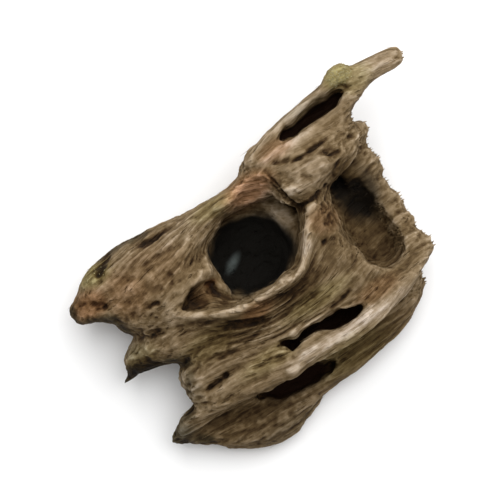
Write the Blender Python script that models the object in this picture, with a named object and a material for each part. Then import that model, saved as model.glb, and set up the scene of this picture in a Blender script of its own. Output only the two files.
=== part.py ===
# A hollow piece of agarwood: its fibres part round a knot hole, and both of its ends are broken.
# It lies on its split underside. X runs along the grain, Y across it and Z up.
# Strands of wood are laid beside each other and fused. The hollows are then cut out of them,
# and the whole is weathered into ridges along the grain.

import math

import bmesh
import bpy
import numpy as np
from mathutils import Matrix, Vector, noise

MM = 0.001

# Driving dimensions, in millimetres. The knot hole's centre is the origin of every place below.
KNOT_RADIUS = 9.5        # the fibres part round this much wood
REST_HEIGHT = 0.0        # level of the flat patches that the piece lies on
FUSE_VOXEL = 0.75        # grid that fuses the strands
CARVE_VOXEL = 0.6        # grid that rounds the carved edges
HOLLOW_VOXEL = 0.48      # grid that joins the hollows to each other
WEAR_SHARE = 0.5         # of the way to its neighbours that each point wears, twice
RIDGE_HEIGHT = 0.55      # weathered ridges along the grain
FINE_HEIGHT = 0.3        # narrower ridges between them
LUMP_HEIGHT = 0.35       # soft lumps over the whole surface
TRIANGLES = 9300         # facets of the finished solid

RING_POINTS = 14         # points round a strand
WELL_POINTS = 30         # points round a well
WELL_SQUARENESS = 2.5    # 2 is an ellipse, more is squarer
STEPS_PER_SPAN = 5       # rings between two stations
LEAST_HALF_SIZE = 0.15   # of a strand or groove, at its thinnest
GROUND_SIZE = 200.0      # the block that levels the underside

# Strands of wood: (x, y, z, half width, half height) along each one's middle line
STRANDS = {
    "upper_wall": [
        (-35.3, 9.1, 9.4, 1.5, 1.6),
        (-33.2, 9.5, 9.2, 2.5, 3.8),
        (-30.0, 9.8, 8.6, 4.1, 6.2),
        (-26.0, 10.8, 8.2, 4.6, 7.8),
        (-21.0, 11.2, 8.0, 4.6, 8.6),
        (-14.0, 10.6, 8.6, 4.5, 9.0),
        (-4.0, 11.1, 9.0, 2.6, 8.4),
        (4.0, 10.8, 9.5, 2.5, 8.8),
        (12.0, 10.6, 10.4, 3.6, 10.0),
        (20.0, 9.6, 10.2, 3.8, 10.8),
        (27.0, 8.6, 9.6, 3.4, 8.8),
        (33.5, 8.8, 9.5, 0.8, 2.0),
    ],
    "cheek": [
        (-28.6, 2.5, 9.2, 1.5, 3.2),
        (-26.5, 2.5, 9.2, 3.4, 5.8),
        (-22.0, 2.2, 9.6, 6.4, 8.0),
        (-17.0, 1.2, 10.0, 8.0, 9.2),
        (-12.0, 0.4, 10.2, 8.0, 9.6),
        (-8.0, 0.0, 8.0, 5.0, 7.0),
    ],
    "nose_side": [
        (-35.2, 8.2, 9.2, 0.8, 1.8),
        (-32.2, 7.3, 9.2, 1.5, 3.8),
        (-29.4, 5.9, 9.4, 1.6, 4.8),
        (-25.5, 4.9, 9.8, 2.6, 6.4),
    ],
    "saddle": [
        (-29.0, 6.8, 10.0, 2.2, 4.4),
        (-24.0, 6.8, 11.0, 2.8, 5.6),
        (-16.0, 6.6, 12.2, 3.2, 6.0),
        (-10.0, 7.4, 12.4, 3.0, 6.2),
    ],
    "shoulder": [
        (-17.0, 3.6, 12.0, 2.4, 6.0),
        (-11.0, 6.6, 12.2, 2.8, 7.0),
        (-5.0, 9.4, 12.0, 2.4, 6.0),
        (2.0, 11.4, 11.0, 1.4, 5.0),
    ],
    "upper_prong": [
        (-35.8, -7.6, 4.8, 0.3, 0.5),
        (-32.6, -6.7, 5.4, 1.15, 1.5),
        (-30.0, -5.1, 6.2, 2.8, 3.2),
        (-27.0, -4.5, 7.0, 3.7, 4.6),
        (-23.0, -4.7, 8.2, 5.0, 6.8),
        (-15.0, -5.8, 9.0, 5.4, 8.6),
    ],
    "belly": [
        (-24.8, -16.6, 7.4, 1.6, 3.8),
        (-21.0, -14.4, 8.4, 4.4, 7.0),
        (-15.0, -13.4, 8.6, 6.2, 8.0),
        (-8.0, -13.4, 8.6, 6.6, 8.4),
        (4.0, -13.4, 8.8, 6.4, 8.4),
        (14.0, -13.2, 9.2, 5.8, 8.6),
        (22.0, -15.2, 8.6, 3.6, 7.0),
        (28.0, -16.6, 7.6, 1.6, 4.0),
    ],
    "rim": [
        (-19.0, -1.8, 14.0, 0.8, 4.6),
        (-14.0, -4.6, 14.8, 1.2, 5.8),
        (-8.0, -7.5, 15.4, 1.25, 6.8),
        (0.0, -8.3, 15.8, 1.25, 7.0),
        (5.5, -8.4, 15.8, 1.3, 7.0),
        (9.4, -5.8, 15.6, 1.4, 6.8),
        (12.8, -1.6, 15.2, 1.4, 6.6),
        (15.8, 2.6, 15.0, 1.6, 6.2),
    ],
    "rim_slope": [
        (-17.0, -4.6, 11.5, 2.2, 5.4),
        (-11.0, -8.4, 12.0, 2.6, 6.4),
        (-4.0, -10.2, 12.2, 2.8, 6.6),
        (4.0, -10.6, 12.4, 2.8, 6.8),
        (10.0, -8.6, 13.0, 3.1, 7.0),
        (13.6, -4.0, 13.4, 3.1, 7.4),
        (15.8, 1.6, 13.4, 2.8, 7.6),
    ],
    "band": [
        (16.6, 8.0, 11.5, 3.2, 9.4),
        (16.8, 2.0, 11.2, 3.2, 9.0),
        (14.6, -5.0, 11.0, 3.4, 8.4),
        (14.4, -13.0, 9.6, 3.8, 8.0),
        (15.8, -20.0, 8.0, 3.6, 7.4),
    ],
    "lump": [
        (12.0, 8.6, 18.0, 1.4, 2.6),
        (13.6, 6.8, 17.0, 3.6, 4.6),
        (18.0, 6.4, 16.0, 4.2, 5.8),
        (24.0, 7.0, 14.6, 3.8, 5.6),
        (29.0, 7.8, 12.4, 2.2, 3.8),
    ],
    "slab": [
        (11.6, 10.4, 17.6, 0.8, 2.2),
        (14.0, 9.8, 16.6, 2.6, 4.6),
        (20.0, 9.8, 15.6, 3.0, 5.4),
        (27.0, 10.2, 14.2, 2.6, 4.8),
        (31.0, 10.6, 12.8, 1.2, 2.6),
    ],
    "fork_upper_bar": [
        (7.6, 13.6, 12.0, 1.4, 3.0),
        (11.5, 15.0, 14.6, 1.8, 3.6),
        (15.0, 16.0, 15.6, 1.6, 3.4),
        (20.0, 17.2, 16.0, 0.85, 3.0),
        (27.0, 18.1, 15.8, 0.85, 2.9),
        (32.0, 18.4, 15.4, 1.6, 3.2),
        (36.0, 17.3, 14.8, 2.3, 3.1),
        (41.0, 16.6, 14.2, 2.3, 2.8),
        (45.0, 16.2, 13.6, 2.15, 2.5),
        (46.8, 15.9, 13.2, 1.5, 1.8),
    ],
    "fork_lower_bar": [
        (7.0, 12.6, 12.0, 1.6, 3.6),
        (14.0, 12.7, 15.2, 1.7, 4.2),
        (22.0, 12.8, 15.6, 1.5, 3.8),
        (29.0, 13.1, 15.4, 1.5, 3.2),
        (34.5, 15.0, 15.0, 1.6, 2.9),
        (39.0, 16.2, 14.4, 1.6, 2.6),
    ],
    "fork_web": [
        (13.0, 15.0, 11.6, 1.6, 2.4),
        (20.0, 15.4, 11.2, 2.0, 2.2),
        (27.0, 15.8, 11.2, 2.2, 2.2),
        (34.0, 16.6, 12.0, 2.2, 2.4),
        (39.0, 16.6, 12.8, 1.4, 2.0),
    ],
    "fork_knob": [
        (30.4, 18.8, 16.2, 1.0, 1.6),
        (32.6, 19.5, 16.6, 1.8, 2.3),
        (35.2, 19.7, 16.2, 1.5, 2.0),
        (36.8, 19.0, 15.6, 0.7, 1.0),
    ],
    "pale_ridge": [
        (-34.2, -22.2, 5.0, 0.4, 0.7),
        (-32.0, -21.8, 5.6, 1.1, 1.7),
        (-28.5, -20.8, 7.2, 1.9, 2.8),
        (-24.0, -20.6, 9.4, 2.1, 3.4),
        (-16.0, -21.2, 12.0, 2.3, 3.8),
        (-8.0, -22.2, 13.2, 2.2, 3.6),
        (0.0, -22.9, 14.0, 2.2, 3.2),
        (8.0, -23.6, 14.2, 2.0, 3.0),
        (16.0, -23.0, 14.0, 2.0, 3.0),
        (22.5, -21.2, 13.0, 1.9, 3.0),
        (28.0, -19.4, 11.5, 0.9, 2.0),
    ],
    "lip": [
        (-33.6, -22.8, 4.0, 0.5, 0.9),
        (-30.0, -23.2, 3.8, 1.8, 2.4),
        (-26.0, -24.8, 3.6, 3.0, 3.4),
        (-22.0, -27.0, 3.6, 4.1, 4.0),
        (-18.0, -29.0, 3.4, 4.8, 4.0),
        (-14.0, -29.8, 3.3, 5.0, 3.9),
        (-8.0, -28.9, 3.3, 4.4, 3.6),
        (-3.0, -27.8, 3.4, 3.7, 3.3),
        (4.0, -27.4, 3.4, 3.0, 3.2),
    ],
    "flank": [
        (-3.0, -26.0, 4.2, 3.4, 4.0),
        (4.0, -26.6, 4.2, 4.6, 4.6),
        (12.0, -25.8, 4.2, 4.3, 5.0),
        (20.0, -24.4, 4.4, 3.7, 5.0),
        (26.0, -22.6, 5.0, 1.4, 2.8),
    ],
    "plateau_edge": [
        (-24.0, -18.0, 8.4, 1.8, 4.0),
        (-20.0, -18.2, 10.0, 2.6, 5.0),
        (-12.0, -18.6, 11.2, 2.9, 5.2),
        (-3.0, -18.6, 11.6, 2.9, 5.2),
        (7.0, -18.4, 11.4, 2.9, 5.0),
        (15.0, -18.2, 11.0, 3.2, 5.0),
        (22.0, -18.8, 9.6, 2.6, 4.6),
        (28.0, -18.4, 8.0, 1.2, 2.6),
    ],
    "keel": [
        (-27.0, -20.4, 4.6, 1.6, 2.6),
        (-18.0, -21.0, 5.4, 4.2, 4.8),
        (-6.0, -21.0, 5.4, 4.6, 5.0),
        (8.0, -20.6, 6.0, 4.0, 6.0),
        (20.0, -19.2, 6.4, 3.6, 6.4),
        (28.0, -18.8, 6.6, 1.6, 3.6),
    ],
    "floor": [
        (-25.0, -1.0, 5.0, 4.6, 3.2),
        (-14.0, -4.0, 4.6, 12.0, 4.2),
        (0.0, -6.5, 4.6, 15.0, 4.2),
        (14.0, -6.0, 4.6, 17.0, 4.2),
        (24.0, -5.0, 4.6, 15.0, 3.8),
        (28.0, -5.0, 5.0, 10.0, 2.6),
    ],
}

# Broken ends of the fibres behind the side hollow:
# (y, z, half width, half height, where it ends, how blunt the end is)
END_STUBS = [
    (7.6, 9.2, 2.8, 6.0, 32.0, 0.7),
    (4.0, 7.8, 3.0, 5.6, 29.8, 0.8),
    (0.6, 7.2, 3.0, 5.0, 30.8, 0.7),
    (-3.6, 6.6, 3.6, 4.6, 29.2, 0.85),
    (-8.0, 6.4, 3.4, 4.4, 30.4, 0.7),
    (-12.0, 6.8, 3.2, 4.8, 29.0, 0.8),
    (-15.6, 7.4, 3.0, 5.6, 29.8, 0.7),
    (-18.8, 7.4, 2.6, 5.8, 28.2, 0.8),
]
STUB_START = 24.0        # where those ends leave the wood
STUB_WAIST = 27.4        # where they begin to narrow
STUB_LEAN = 0.3          # sideways and downwards, by the tip
STUB_DROOP = 0.8

# Waves to the millimetre along the fibres, across them and upwards
RIDGE_WAVES = (0.03, 0.2, 0.17)
FINE_WAVES = (0.06, 0.48, 0.42)
LUMP_WAVES = (0.14, 0.14, 0.14)

# Grooves and cracks: (x, y, z, half width, half height) along each one's middle line
GROOVES = {
    "long_slot": [
        (-5.8, -21.7, 16.6, 0.2, 1.6),
        (-4.0, -20.9, 15.2, 0.55, 4.0),
        (-2.4, -19.6, 14.4, 1.4, 6.4),
        (0.0, -19.3, 14.0, 1.2, 7.4),
        (3.5, -19.3, 14.0, 1.2, 7.4),
        (5.2, -19.9, 14.0, 1.75, 7.4),
        (7.5, -20.3, 14.0, 1.85, 7.4),
        (10.0, -20.5, 14.6, 1.5, 6.4),
        (12.6, -20.4, 16.0, 0.3, 2.6),
    ],
    "slot_branch": [
        (-6.0, -17.5, 18.0, 0.2, 0.8),
        (-4.2, -18.0, 17.2, 0.55, 3.0),
        (-2.0, -18.8, 16.0, 0.8, 5.0),
    ],
    "under_ridge": [
        (-15.6, -24.1, 8.8, 0.4, 1.4),
        (-12.0, -24.8, 8.0, 1.6, 3.8),
        (-8.4, -25.4, 7.4, 2.3, 4.6),
        (-4.2, -26.0, 7.2, 2.4, 4.6),
        (-0.6, -26.6, 7.2, 1.9, 3.8),
        (3.0, -27.0, 7.6, 0.6, 2.0),
    ],
    "below_rim": [
        (-18.0, -4.6, 17.4, 0.3, 0.8),
        (-12.0, -8.4, 18.4, 0.8, 1.6),
        (-7.0, -11.0, 18.6, 0.8, 1.8),
        (-2.6, -12.6, 18.2, 0.5, 1.2),
    ],
    "funnel_edge": [
        (-10.6, 5.4, 20.6, 0.4, 0.8),
        (-7.0, 6.8, 20.4, 1.5, 2.2),
        (-3.4, 8.4, 19.4, 1.8, 2.8),
        (1.0, 9.4, 19.0, 1.6, 2.6),
    ],
    "edge_crack": [
        (-17.4, 13.3, 15.8, 0.3, 0.8),
        (-14.5, 13.0, 15.8, 0.6, 2.0),
        (-10.5, 13.2, 15.6, 0.4, 1.6),
        (-7.6, 13.4, 15.4, 0.2, 0.8),
    ],
    "nose_crack": [
        (-27.6, 12.4, 15.2, 0.3, 1.0),
        (-26.0, 13.2, 14.8, 0.7, 1.8),
        (-24.0, 14.5, 13.8, 0.45, 1.6),
        (-22.6, 15.4, 12.8, 0.25, 0.8),
    ],
    "plateau_groove": [
        (-22.6, -17.0, 14.2, 0.3, 1.0),
        (-19.5, -17.3, 15.2, 0.7, 2.0),
        (-15.5, -16.9, 16.2, 0.3, 1.2),
    ],
    "plateau_crack": [
        (6.6, -17.4, 16.4, 0.2, 0.8),
        (9.5, -17.2, 16.2, 0.5, 1.8),
        (13.0, -16.8, 16.6, 0.2, 0.8),
    ],
    "lump_fold": [
        (12.6, 3.0, 21.6, 0.3, 1.2),
        (15.5, 2.2, 21.6, 0.5, 1.8),
        (19.5, 2.0, 20.6, 0.3, 1.2),
    ],
    "fork_slot": [
        (17.2, 15.2, 17.6, 0.3, 2.2),
        (18.6, 15.3, 16.6, 0.95, 4.4),
        (25.0, 15.6, 16.2, 1.05, 4.6),
        (31.2, 16.1, 16.4, 0.9, 4.2),
        (32.8, 16.3, 17.2, 0.3, 2.4),
    ],
    "bar_groove": [
        (12.6, 11.2, 20.0, 0.3, 1.0),
        (16.0, 10.6, 20.0, 0.5, 2.4),
        (20.0, 10.3, 19.6, 0.55, 2.8),
        (25.5, 10.4, 18.8, 0.55, 2.8),
        (30.5, 11.2, 17.0, 0.3, 1.2),
    ],
    "shelf": [
        (-16.4, -1.5, 19.8, 0.4, 1.2),
        (-14.6, -1.5, 19.2, 1.5, 3.0),
        (-12.0, -1.6, 19.3, 2.7, 3.2),
        (-9.4, -2.0, 20.2, 3.4, 3.0),
        (-7.0, -2.4, 21.6, 3.5, 2.4),
    ],
    "arch_underneath": [
        (-5.0, 21.0, 0.0, 7.0, 4.4),
        (-4.6, 13.0, 0.0, 6.4, 3.6),
        (-4.2, 6.0, 0.0, 5.0, 2.9),
        (-4.0, 0.8, 0.0, 3.4, 3.2),
        (-3.8, -2.4, 0.0, 0.5, 0.8),
    ],
    "arch_at_the_end": [
        (38.0, -4.0, -0.6, 8.0, 4.6),
        (30.0, -4.4, -0.6, 7.4, 4.2),
        (20.0, -5.4, -0.6, 6.6, 3.4),
        (10.0, -7.0, -0.6, 5.6, 2.8),
        (0.0, -9.0, -0.6, 4.4, 2.4),
    ],
    "arch_below_the_ridge": [
        (-38.0, -15.0, -0.6, 6.4, 5.4),
        (-28.0, -14.0, -0.6, 6.4, 4.6),
        (-18.0, -13.0, -0.6, 6.0, 3.4),
        (-8.0, -12.6, -0.6, 5.4, 2.8),
        (2.0, -13.0, -0.6, 4.4, 2.2),
        (10.0, -13.0, -0.6, 1.0, 1.0),
    ],
}

# Wells: (x, y, z, half length, half width) of level rings, from the mouth down
WELLS = {
    "knot_hole": [
        (1.6, 1.2, 30.0, 9.8, 9.2),
        (1.2, 0.8, 23.0, 8.8, 8.2),
        (0.8, 0.4, 18.0, 8.2, 7.6),
        (0.5, 0.1, 14.0, 7.9, 7.2),
        (0.2, 0.0, 9.0, 8.3, 7.4),
        (-0.5, 0.2, 6.4, 7.2, 6.4),
        (-1.0, 0.4, 5.2, 4.4, 3.8),
    ],
    "scooped_wall": [
        (6.6, 6.4, 30.0, 7.6, 8.0),
        (6.0, 5.8, 22.0, 6.8, 7.2),
        (5.4, 5.2, 17.6, 6.2, 6.6),
        (4.0, 3.8, 13.6, 4.8, 5.4),
        (2.4, 2.0, 10.4, 3.6, 4.4),
    ],
    "side_hollow": [
        (22.9, -9.4, 26.0, 5.6, 9.6),
        (22.8, -9.4, 16.0, 5.0, 8.4),
        (22.4, -9.4, 9.0, 4.4, 7.6),
        (22.4, -9.6, 6.6, 3.0, 5.6),
    ],
    "side_hollow_upper_end": [
        (25.2, -1.6, 26.0, 2.8, 6.2),
        (24.8, -2.2, 16.0, 2.6, 5.4),
        (24.0, -4.0, 9.0, 2.2, 4.0),
    ],
}


def curve_through(stations):
    # A Catmull-Rom curve through every number of the stations
    rows = np.array(stations, float)
    padded = np.vstack([2 * rows[0] - rows[1], rows, 2 * rows[-1] - rows[-2]])
    points = []
    for i in range(len(rows) - 1):
        a, b, c, d = padded[i:i + 4]
        for t in np.arange(STEPS_PER_SPAN) / STEPS_PER_SPAN:
            points.append(0.5 * (2 * b + (c - a) * t + (2 * a - 5 * b + 4 * c - d) * t**2
                                 + (3 * b - a - 3 * c + d) * t**3))
    points.append(rows[-1])
    return np.array(points)


def strand_rings(stations):
    # Ellipses square to the middle line, none of them rolled
    rows = curve_through(stations)
    angles = np.arange(RING_POINTS) * math.tau / RING_POINTS
    rings = []
    for i, (x, y, z, width, height) in enumerate(rows):
        behind, ahead = rows[max(i - 1, 0)], rows[min(i + 1, len(rows) - 1)]
        along = Vector(ahead[:3] - behind[:3]).normalized()
        side = Vector((0, 0, 1)).cross(along).normalized() * max(width, LEAST_HALF_SIZE)
        up = along.cross(side.normalized()) * max(height, LEAST_HALF_SIZE)
        centre = Vector((x, y, z))
        rings.append([centre + side * math.cos(a) + up * math.sin(a) for a in angles])
    return rings


def rounded(value):
    # Turns a sine or cosine into that of a squarer ring
    return math.copysign(abs(value) ** (2 / WELL_SQUARENESS), value)


def well_rings(stations):
    angles = np.arange(WELL_POINTS) * math.tau / WELL_POINTS
    return [
        [Vector((x + length * rounded(math.cos(a)), y + width * rounded(math.sin(a)), z)) for a in angles]
        for x, y, z, length, width in curve_through(stations)
    ]


def stub_stations():
    return [
        [(STUB_START, y, z, width, height), (STUB_WAIST, y, z, width, height),
         (end, y + STUB_LEAN, z - STUB_DROOP, blunt * width, blunt * height)]
        for y, z, width, height, end, blunt in END_STUBS
    ]


def skin(bm, rings):
    # Joins a row of rings into one closed skin with flat ends
    loops = [[bm.verts.new(point * MM) for point in ring] for ring in rings]
    for first, second in zip(loops, loops[1:]):
        bmesh.ops.bridge_loops(bm, edges=[
            edge for loop in (first, second) for edge in (
                bm.edges.get(pair) or bm.edges.new(pair) for pair in zip(loop, loop[1:] + loop[:1]))])
    bm.faces.new(loops[0])
    bm.faces.new(loops[-1])


def skinned_mesh(name, rows_of_rings):
    bm = bmesh.new()
    for rings in rows_of_rings:
        skin(bm, rings)
    bmesh.ops.recalc_face_normals(bm, faces=bm.faces)
    mesh = bpy.data.meshes.new(name)
    bm.to_mesh(mesh)
    bm.free()
    return mesh


def add_object(name, mesh, helper=False):
    obj = bpy.data.objects.new(name, mesh)
    bpy.context.scene.collection.objects.link(obj)
    if helper:
        obj.hide_render = True
        obj.display_type = "WIRE"
    return obj


def add_remesh(obj, size):
    modifier = obj.modifiers.new("Fuse", "REMESH")
    modifier.mode = "VOXEL"
    modifier.voxel_size = size * MM


def add_wear(obj):
    modifier = obj.modifiers.new("Wear", "SMOOTH")
    modifier.factor = WEAR_SHARE
    modifier.iterations = 2


def add_cut(obj, cutter):
    modifier = obj.modifiers.new("Carve", "BOOLEAN")
    modifier.operation = "DIFFERENCE"
    modifier.object = cutter
    modifier.solver = "EXACT"


def evaluated_mesh(obj):
    graph = bpy.context.evaluated_depsgraph_get()
    graph.update()
    return bpy.data.meshes.new_from_object(obj.evaluated_get(graph))


def make_hollows():
    rings = [strand_rings(stations) for stations in GROOVES.values()]
    rings += [well_rings(stations) for stations in WELLS.values()]
    hollows = add_object("hollows", skinned_mesh("hollows", rings), helper=True)
    add_remesh(hollows, HOLLOW_VOXEL)
    return hollows


def make_fused_strands():
    rings = [strand_rings(stations) for stations in [*STRANDS.values(), *stub_stations()]]
    fused = add_object("fused_strands", skinned_mesh("fused_strands", rings), helper=True)
    add_remesh(fused, FUSE_VOXEL)
    add_wear(fused)
    return fused


def grain_place(x, y):
    # Distance along and across the fibres, which part round the knot as water does round a pillar
    share = KNOT_RADIUS**2 / max(x * x + y * y, (0.7 * KNOT_RADIUS) ** 2)
    return x * (1 + share), y * (1 - share)


def crease(value):
    # Sharp valleys and round crests out of plain noise, about zero on the whole
    return 1.9 * abs(value) - 0.4


def weathering(x, y, z):
    fibre = Vector((*grain_place(x, y), z))
    ridge = crease(noise.noise(fibre * Vector(RIDGE_WAVES)))
    fine = crease(noise.noise(fibre * Vector(FINE_WAVES)))
    lump = noise.noise(Vector((x, y, z)) * Vector(LUMP_WAVES))
    return RIDGE_HEIGHT * ridge + FINE_HEIGHT * fine + LUMP_HEIGHT * lump


def weather(mesh):
    normals = [vertex.normal.copy() for vertex in mesh.vertices]
    for vertex, normal in zip(mesh.vertices, normals):
        vertex.co += normal * weathering(*(vertex.co / MM)) * MM


def ground_block():
    size = GROUND_SIZE * MM
    bm = bmesh.new()
    bmesh.ops.create_cube(bm, size=size, matrix=Matrix.Translation((0, 0, REST_HEIGHT * MM - size / 2)))
    mesh = bpy.data.meshes.new("ground")
    bm.to_mesh(mesh)
    bm.free()
    return add_object("ground", mesh, helper=True)


def centre_over_origin(mesh):
    corners = np.array([vertex.co for vertex in mesh.vertices])
    low, high = corners.min(axis=0), corners.max(axis=0)
    mesh.transform(Matrix.Translation((-(low[0] + high[0]) / 2, -(low[1] + high[1]) / 2, -low[2])))


def agarwood_material():
    material = bpy.data.materials.new("agarwood")
    material.use_nodes = True
    shader = material.node_tree.nodes["Principled BSDF"]
    shader.inputs["Base Color"].default_value = (0.19, 0.12, 0.065, 1)
    shader.inputs["Roughness"].default_value = 0.72
    shader.inputs["Metallic"].default_value = 0.0
    return material


def main():
    for obj in list(bpy.data.objects):
        bpy.data.objects.remove(obj)

    wood = make_fused_strands()
    add_cut(wood, make_hollows())
    add_remesh(wood, CARVE_VOXEL)
    add_wear(wood)

    weathered = add_object("weathered", evaluated_mesh(wood), helper=True)
    weather(weathered.data)
    facets = weathered.modifiers.new("Facets", "DECIMATE")
    facets.ratio = TRIANGLES / (2 * len(weathered.data.polygons))
    add_cut(weathered, ground_block())

    piece = add_object("agarwood_piece", evaluated_mesh(weathered))
    centre_over_origin(piece.data)
    piece.data.materials.clear()
    piece.data.materials.append(agarwood_material())


if __name__ == "__main__":
    main()
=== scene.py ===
import math

import bmesh
import bpy
import numpy as np
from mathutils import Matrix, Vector, noise
from mathutils.bvhtree import BVHTree


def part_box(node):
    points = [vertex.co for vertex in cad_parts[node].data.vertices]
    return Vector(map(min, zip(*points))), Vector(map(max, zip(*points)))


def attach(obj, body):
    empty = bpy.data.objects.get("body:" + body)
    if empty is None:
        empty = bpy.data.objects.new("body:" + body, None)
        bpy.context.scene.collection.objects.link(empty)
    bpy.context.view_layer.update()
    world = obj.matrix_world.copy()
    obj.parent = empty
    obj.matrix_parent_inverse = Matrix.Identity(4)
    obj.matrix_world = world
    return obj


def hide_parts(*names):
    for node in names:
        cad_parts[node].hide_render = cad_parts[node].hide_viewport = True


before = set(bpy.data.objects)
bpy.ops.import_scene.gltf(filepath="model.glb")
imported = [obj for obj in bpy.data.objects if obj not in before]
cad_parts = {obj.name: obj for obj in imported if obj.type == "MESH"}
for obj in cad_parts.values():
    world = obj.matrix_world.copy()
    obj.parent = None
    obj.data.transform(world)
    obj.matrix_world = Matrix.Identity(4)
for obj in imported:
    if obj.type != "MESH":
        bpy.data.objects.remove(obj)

mm = 0.001
scene = bpy.context.scene
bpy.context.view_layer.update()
woodNode = "agarwood_piece"
woodLow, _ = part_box(woodNode)

# All plan places below are in millimetres from the knot hole's centre, x along the grain
knotFromCorner = (35.916, 34.635)
knot = np.array([woodLow.x / mm + knotFromCorner[0], woodLow.y / mm + knotFromCorner[1], 0.0])


# Small helpers

# Noise: how often it changes along x, y and z (or along the fibres, across them and up), and where it starts
noiseLooks = {
    "lineEdge": ((0.9, 0.9, 0.9), 50.0),
    "lineGaps": ((0.3, 0.3, 0.3), 57.0),
    "wander": ((0.16, 0.16, 0.16), 31.0),
    "coarse": ((0.04, 0.34, 0.30), 1.3),
    "middle": ((0.055, 0.78, 0.7), 7.9),
    "fine": ((0.12, 1.7, 1.6), 3.1),
    "mottle": ((0.5, 0.6, 0.6), 11.0),
    "mottleFine": ((1.1, 1.3, 1.3), 17.0),
    "strength": ((0.07, 0.09, 0.09), 2.0),
    "slotEdge": ((0.24, 0.5, 0.2), 23.0),
    "slotEdgeFine": ((0.5, 0.9, 0.3), 29.0),
    "darkEdge": ((0.4, 0.4, 0.25), 40.0),
    "greyEdge": ((0.6, 0.6, 0.6), 63.0),
    "fibreSide": ((0.22, 0.22, 0.22), 71.0),
    "rough": ((0.13, 0.17, 0.17), 77.0),
    "patchy": ((0.5, 0.5, 0.5), 83.0),
}


def smoothStep(value, low, high):
    share = np.clip((value - low) / (high - low), 0.0, 1.0)
    return share * share * (3 - 2 * share)


def noiseAt(places, name):
    # Perlin noise for every row of places
    scale, shift = noiseLooks[name]
    rows = places * np.array(scale) + shift
    return np.array([noise.noise(Vector(row)) for row in rows])


def vertexArray(mesh, name="co"):
    values = np.empty(len(mesh.vertices) * 3)
    mesh.vertices.foreach_get(name, values)
    return values.reshape(-1, 3)


def plainMesh(obj):
    # The object's mesh with its modifiers applied; the modifiers are gone afterwards
    graph = bpy.context.evaluated_depsgraph_get()
    graph.update()
    mesh = bpy.data.meshes.new_from_object(obj.evaluated_get(graph))
    obj.modifiers.clear()
    obj.data = mesh
    return mesh


def addObject(name, mesh):
    obj = bpy.data.objects.new(name, mesh)
    scene.collection.objects.link(obj)
    return obj


def storeFloats(mesh, name, values):
    layer = mesh.attributes.new(name, "FLOAT", "POINT")
    layer.data.foreach_set("value", np.ascontiguousarray(values, dtype=np.float32))


def floatArray(mesh, name):
    values = np.empty(len(mesh.vertices))
    mesh.attributes[name].data.foreach_get("value", values)
    return values


def storeVectors(mesh, name, values):
    layer = mesh.attributes.new(name, "FLOAT_VECTOR", "POINT")
    layer.data.foreach_set("vector", np.ascontiguousarray(values, dtype=np.float32).ravel())


def curvePoints(path, steps=8):
    # A smooth run of points through a given path
    rows = np.array(path, float)
    padded = np.vstack([2 * rows[0] - rows[1], rows, 2 * rows[-1] - rows[-2]])
    points = []
    for i in range(len(rows) - 1):
        a, b, c, d = padded[i:i + 4]
        for t in np.arange(steps) / steps:
            points.append(0.5 * (2 * b + (c - a) * t + (2 * a - 5 * b + 4 * c - d) * t**2
                                 + (3 * b - a - 3 * c + d) * t**3))
    points.append(rows[-1])
    return np.array(points)


def distanceToPath(plan, path, reach):
    # The plan points within reach of the path, their distances from it, and how far along it they lie, 0 to 1
    points = curvePoints(path)
    low, high = points.min(axis=0) - reach, points.max(axis=0) + reach
    near = np.flatnonzero(((plan > low) & (plan < high)).all(axis=1))
    close = plan[near]
    nearest = np.full(len(near), 1e9)
    share = np.zeros(len(near))
    spans = len(points) - 1
    for i in range(spans):
        start, step = points[i], points[i + 1] - points[i]
        t = np.clip((close - start) @ step / max(step @ step, 1e-9), 0, 1)
        gap = np.hypot(*(close - start - t[:, None] * step).T)
        closer = gap < nearest
        nearest[closer] = gap[closer]
        share[closer] = (i + t[closer]) / spans
    return near, nearest, share


# Grain

grain = {
    "knotRadius": 8.2,            # the fibres part round this much wood
    "core": 0.75,                 # share of that radius inside which they bend no more
    "forkLine": [(9, 14.5), (20, 17.4), (33, 18.6), (40, 16.8), (47, 15.8)],
    "forkBand": (10.5, 13.5),     # past this y the fibres follow the fork
    "forkStart": (8, 12),         # and past this x
    "slowWave": (0.7, 0.11, 0.6),     # sway in mm, turn for each mm, start
    "quickWave": (0.25, 0.31, 0.2),   # sway in mm, turn for each mm along and up
}


def grainPlaces(places):
    # Millimetres along the fibres, across them and up, for places from the knot
    x, y, z = places.T
    radius = grain["knotRadius"]
    share = radius**2 / np.maximum(x * x + y * y, (grain["core"] * radius)**2)
    along, across = x * (1 + share), y * (1 - share)
    line = np.array(grain["forkLine"])
    bend = np.interp(x, line[:, 0], line[:, 1]) - line[0, 1]
    across = across - bend * smoothStep(y, *grain["forkBand"])
    sway, turn, start = grain["slowWave"]
    across = across + sway * np.sin(turn * along + start)
    sway, turn, turnUp = grain["quickWave"]
    across = across + sway * np.sin(turn * along + turnUp * z)
    return np.column_stack([along, across, z])


def grainDirection(places):
    # Unit vector along the fibres in plan
    x, y = places[:, 0], places[:, 1]
    radius = grain["knotRadius"]
    square = np.maximum(x * x + y * y, (grain["core"] * radius)**2)
    flow = np.column_stack([
        1 - radius**2 * (x * x - y * y) / square**2,
        -2 * radius**2 * x * y / square**2,
        np.zeros(len(x)),
    ])
    line = np.array(grain["forkLine"])
    slope = np.interp(x + 1, line[:, 0], line[:, 1]) - np.interp(x - 1, line[:, 0], line[:, 1])
    flow[:, 1] += 0.5 * slope * smoothStep(y, *grain["forkBand"]) * smoothStep(x, *grain["forkStart"])
    return flow / np.linalg.norm(flow, axis=1)[:, None]


# Relief of the wood

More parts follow.
